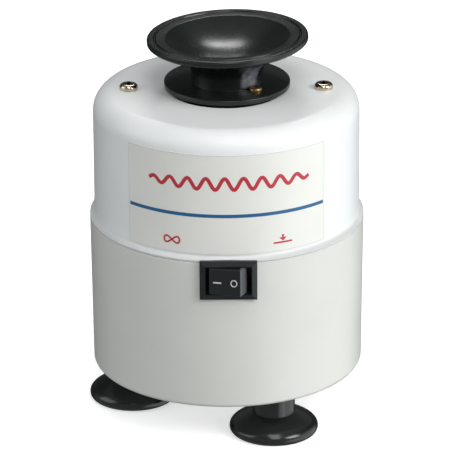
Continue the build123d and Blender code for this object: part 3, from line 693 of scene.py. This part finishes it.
# ------------------------------------------------------------------ the touch springs
POST_CIRCLE_R, POST_AZIMUTHS = 31.0, (0, 120, -120)
SPRING_R, WIRE_R, SPRING_TURNS = 4.0, 0.5, 5.5
TURN_STEPS, WIRE_SIDES = 32, 10
spring_low, spring_high = low("touch_springs").z / MM, high("touch_springs").z / MM
pitch = (spring_high - spring_low - 2 * WIRE_R) / SPRING_TURNS
climb = math.atan2(pitch, 2 * math.pi * SPRING_R)
bm = bmesh.new()
for azimuth in POST_AZIMUTHS:
    bearing = math.radians(azimuth)
    post = Vector((math.sin(bearing), -math.cos(bearing), 0)) * POST_CIRCLE_R
    rings = []
    for k in range(round(SPRING_TURNS * TURN_STEPS) + 1):
        turn = 2 * math.pi * k / TURN_STEPS
        outward = Vector((math.cos(turn), math.sin(turn), 0))
        ahead = Vector((-math.sin(turn), math.cos(turn), 0))
        along = ahead * math.cos(climb) + Vector((0, 0, math.sin(climb)))
        centre = post + outward * SPRING_R + Vector((0, 0, spring_low + WIRE_R + pitch * k / TURN_STEPS))
        over = along.cross(outward)
        ring = []
        for side in range(WIRE_SIDES):
            around = 2 * math.pi * side / WIRE_SIDES
            spoke = (outward * math.cos(around) + over * math.sin(around)) * WIRE_R
            ring.append(bm.verts.new((centre + spoke) * MM))
        rings.append(ring)
    for a, b in zip(rings, rings[1:]):
        for side in range(WIRE_SIDES):
            after = (side + 1) % WIRE_SIDES
            bm.faces.new((a[side], a[after], b[after], b[side]))
    bm.faces.new(rings[0])
    bm.faces.new(rings[-1])
wire = finishes["spring_steel"]
springs = finish_mesh("spring_coils", bm, wire, "case", ("touch_springs",), sharp=50)
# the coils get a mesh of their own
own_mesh(springs)


# ------------------------------------------------------------------ floor, light and camera
FLOOR_HALF = 12.0
# strengths of the world's soft patches, then the lamps' watts
FRONT_GLOW = 0.345
SIDE_GLOW = 1.1
STRIP_GLOW = 1.25
TOP_GLOW = 0.28
BASE_GLOW = 0.06
KEY_WATTS = 21.2
WINDOW_WATTS = 7.5
FILL_WATTS = 6.8
BACK_WATTS = 6.0


def area_light(name, where, aim, size, watts, colour=(1, 1, 1)):
    data = bpy.data.lights.new(name, "AREA")
    data.shape = "RECTANGLE"
    data.size, data.size_y = size
    data.energy = watts
    data.color = colour
    obj = bpy.data.objects.new(name, data)
    bpy.context.scene.collection.objects.link(obj)
    obj.location = where
    obj.rotation_euler = (Vector(aim) - Vector(where)).to_track_quat("-Z", "Y").to_euler()
    return obj


floor_bm = bmesh.new()
floor_corners = []
for x, y in ((-1, -1), (1, -1), (1, 1), (-1, 1)):
    floor_corners.append(floor_bm.verts.new((x * FLOOR_HALF, y * FLOOR_HALF, 0.0)))
floor_bm.faces.new(floor_corners)
floor_mesh = bpy.data.meshes.new("floor")
floor_bm.to_mesh(floor_mesh)
floor_bm.free()
floor = bpy.data.objects.new("floor", floor_mesh)
bpy.context.scene.collection.objects.link(floor)
floor_mat, _, floor_shader = principled("floor_pale")
floor_shader.inputs["Base Color"].default_value = (0.92, 0.92, 0.92, 1)
floor_shader.inputs["Roughness"].default_value = 0.9
floor_shader.inputs["Specular IOR Level"].default_value = 0.1
floor_shader.inputs["Emission Color"].default_value = (1, 1, 1, 1)
floor_shader.inputs["Emission Strength"].default_value = 0.55
floor_mesh.materials.append(floor_mat)
floor.visible_diffuse = False
floor.visible_glossy = False

world = bpy.data.worlds.new("studio")
bpy.context.scene.world = world
world.use_nodes = True
sky = world.node_tree
direction = add(sky, "ShaderNodeTexCoord").outputs["Generated"]
front = lobe(sky, direction, (-0.15, -1, 0), -0.62, 0.12)
level = lobe(sky, direction, (0, 0, -1), -0.85, -0.25)
side = lobe(sky, direction, (1.0, 0.05, -0.22), 0.62, 0.93)
strip = lobe(sky, direction, (0.665, -0.643, -0.374), 0.93, 0.985)
top = lobe(sky, direction, (0, 0, 1), 0.55, 0.9)
glow = combined(sky, "ADD", product(sky, front, level, FRONT_GLOW), BASE_GLOW)
for patch, strength in ((side, SIDE_GLOW), (strip, STRIP_GLOW), (top, TOP_GLOW)):
    glow = combined(sky, "ADD", glow, combined(sky, "MULTIPLY", patch, strength))
sky.links.new(glow, sky.nodes["Background"].inputs["Strength"])
sky.nodes["Background"].inputs["Color"].default_value = (0.95, 0.98, 1.0, 1)

area_light("key", (1.28, -0.90, 1.10), (0, 0, 0.07), (0.9, 0.9), KEY_WATTS, (1.0, 0.99, 0.96))
area_light("window", (0.09, -0.88, 1.36), (0, 0, 0.1), (0.55, 1.4), WINDOW_WATTS)
area_light("fill", (-1.48, -0.30, 0.82), (0, 0, 0.07), (1.2, 1.2), FILL_WATTS)
area_light("back", (0.0, 1.40, 1.38), (0, 0, 0.13), (0.55, 0.28), BACK_WATTS)

CAMERA_ELEVATION = math.radians(21.985)
CAMERA_ROLL = math.radians(0.281)
CAMERA_DISTANCE = 1.700
CAMERA_AIM = Vector((0.003374, 0.0, 0.067064))
CAMERA_LENS = 346.7
cam_data = bpy.data.cameras.new("camera")
cam = bpy.data.objects.new("camera", cam_data)
bpy.context.scene.collection.objects.link(cam)
bpy.context.scene.camera = cam
forward = Vector((0.0, math.cos(CAMERA_ELEVATION), -math.sin(CAMERA_ELEVATION)))
right = Vector((1.0, 0.0, 0.0))
up = right.cross(forward)
rolled_right = right * math.cos(CAMERA_ROLL) - up * math.sin(CAMERA_ROLL)
rolled_up = right * math.sin(CAMERA_ROLL) + up * math.cos(CAMERA_ROLL)
basis = Matrix((rolled_right, rolled_up, -forward)).transposed()
cam.matrix_world = Matrix.Translation(CAMERA_AIM - forward * CAMERA_DISTANCE) @ basis.to_4x4()
cam_data.sensor_width = 36.0
cam_data.lens = CAMERA_LENS
cam_data.clip_start = 0.1
cam_data.clip_end = 60.0
bpy.context.scene.view_settings.view_transform = "Standard"
